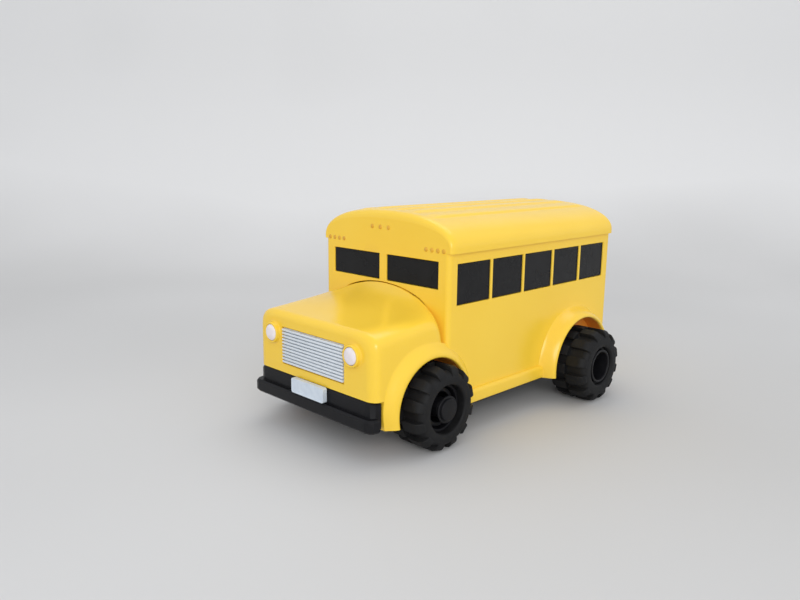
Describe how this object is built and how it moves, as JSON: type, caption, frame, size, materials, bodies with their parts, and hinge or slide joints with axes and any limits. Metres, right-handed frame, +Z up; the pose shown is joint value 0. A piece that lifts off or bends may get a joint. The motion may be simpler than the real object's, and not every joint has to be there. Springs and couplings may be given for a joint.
{
  "type": "line-following toy school bus",
  "caption": "Small yellow toy school bus with lugged wheels, a geared motor on each rear wheel and a line sensor under its nose.",
  "frame": {"origin": "middle of the ground rectangle under the bus, on the floor that the tyres stand on", "axes": "+Z up, -Y forwards, +X towards the bus's left side"},
  "size_m": [0.0568, 0.0834, 0.0465],
  "materials": {
    "yellow_plastic": "semi-gloss moulded",
    "black_plastic": "satin moulded",
    "dark_pane": "gloss",
    "tyre_rubber": "matt",
    "silver_foil": "satin silver print on moulded plastic",
    "lamp_white": "gloss",
    "plate_white": "satin",
    "steel": "plain drawn",
    "gear_nylon": "matt moulded",
    "circuit_green": "satin solder mask",
    "cell_steel": "bright nickel plated",
    "clear_resin": "clear gloss",
    "wire_red": "satin insulation",
    "wire_black": "satin insulation"
  },
  "bodies": {
    "bus_body": {"body_shell": "yellow_plastic", "chassis_base": "black_plastic", "gearbox_cover": "black_plastic", "battery_door": "black_plastic", "front_axle_pin_left": "black_plastic", "front_axle_pin_right": "black_plastic", "control_chip": "black_plastic", "sensor_phototransistor": "black_plastic", "windshield_insert": "dark_pane", "rear_window_insert": "dark_pane", "window_strip_left": "dark_pane", "window_strip_right": "dark_pane", "grille_plate": "silver_foil", "headlight_left": "lamp_white", "headlight_right": "lamp_white", "number_plate": "plate_white", "gear_pin_left": "steel", "gear_pin_right": "steel", "battery_contact_positive": "steel", "battery_contact_negative": "steel", "switch_body": "steel", "chassis_screw_front_left": "steel", "chassis_screw_front_right": "steel", "chassis_screw_rear_left": "steel", "chassis_screw_rear_right": "steel", "battery_door_screw": "steel", "gearbox_cover_screw": "steel", "circuit_board": "circuit_green", "battery_cell_1": "cell_steel", "battery_cell_2": "cell_steel", "battery_cell_3": "cell_steel", "motor_left": "cell_steel", "motor_right": "cell_steel", "sensor_led": "clear_resin", "motor_wire_left_a": "wire_red", "motor_wire_right_a": "wire_red", "battery_wire_positive": "wire_red", "motor_wire_left_b": "wire_black", "motor_wire_right_b": "wire_black", "battery_wire_negative": "wire_black", "switch_wire": "wire_black"},
    "front_wheel_left": {"front_tyre_left": "tyre_rubber", "front_hub_left": "black_plastic"},
    "rear_drive_left": {"rear_tyre_left": "tyre_rubber", "rear_hub_left": "black_plastic", "rear_axle_left": "steel", "axle_gear_left": "gear_nylon"},
    "compound_left": {"compound_gear_left": "gear_nylon"},
    "motor_rotor_left": {"motor_shaft_left": "steel", "pinion_left": "gear_nylon"},
    "front_wheel_right": {"front_tyre_right": "tyre_rubber", "front_hub_right": "black_plastic"},
    "rear_drive_right": {"rear_tyre_right": "tyre_rubber", "rear_hub_right": "black_plastic", "rear_axle_right": "steel", "axle_gear_right": "gear_nylon"},
    "compound_right": {"compound_gear_right": "gear_nylon"},
    "motor_rotor_right": {"motor_shaft_right": "steel", "pinion_right": "gear_nylon"},
    "switch_slider": {"switch_slider": "black_plastic"}
  },
  "joints": [
    {"name": "front_wheel_spin_left", "type": "hinge", "parent": "bus_body", "child": "front_wheel_left", "pos_m": [0.0183, -0.02455, 0.00863], "axis": [1, 0, 0], "continuous": true},
    {"name": "rear_wheel_spin_left", "type": "hinge", "parent": "bus_body", "child": "rear_drive_left", "pos_m": [0.0236, 0.02475, 0.00863], "axis": [1, 0, 0], "continuous": true},
    {"name": "compound_spin_left", "type": "hinge", "parent": "bus_body", "child": "compound_left", "pos_m": [0.0127, 0.02044, 0.01165], "axis": [1, 0, 0], "continuous": true},
    {"name": "motor_spin_left", "type": "hinge", "parent": "bus_body", "child": "motor_rotor_left", "pos_m": [0.0127, 0.0155, 0.00985], "axis": [1, 0, 0], "continuous": true},
    {"name": "front_wheel_spin_right", "type": "hinge", "parent": "bus_body", "child": "front_wheel_right", "pos_m": [-0.0183, -0.02455, 0.00863], "axis": [1, 0, 0], "continuous": true},
    {"name": "rear_wheel_spin_right", "type": "hinge", "parent": "bus_body", "child": "rear_drive_right", "pos_m": [-0.0236, 0.02475, 0.00863], "axis": [1, 0, 0], "continuous": true},
    {"name": "compound_spin_right", "type": "hinge", "parent": "bus_body", "child": "compound_right", "pos_m": [-0.0127, 0.02044, 0.01165], "axis": [1, 0, 0], "continuous": true},
    {"name": "motor_spin_right", "type": "hinge", "parent": "bus_body", "child": "motor_rotor_right", "pos_m": [-0.0127, 0.0155, 0.00985], "axis": [1, 0, 0], "continuous": true},
    {"name": "switch_slide", "type": "slide", "parent": "bus_body", "child": "switch_slider", "axis": [1, 0, 0], "range_m": [0, 0.002]}
  ],
  "couplings": [
    {"joint": "compound_spin_left", "follows": "rear_wheel_spin_left", "ratio": -2.25},
    {"joint": "motor_spin_left", "follows": "rear_wheel_spin_left", "ratio": 5.0625},
    {"joint": "compound_spin_right", "follows": "rear_wheel_spin_right", "ratio": -2.25},
    {"joint": "motor_spin_right", "follows": "rear_wheel_spin_right", "ratio": 5.0625}
  ]
}
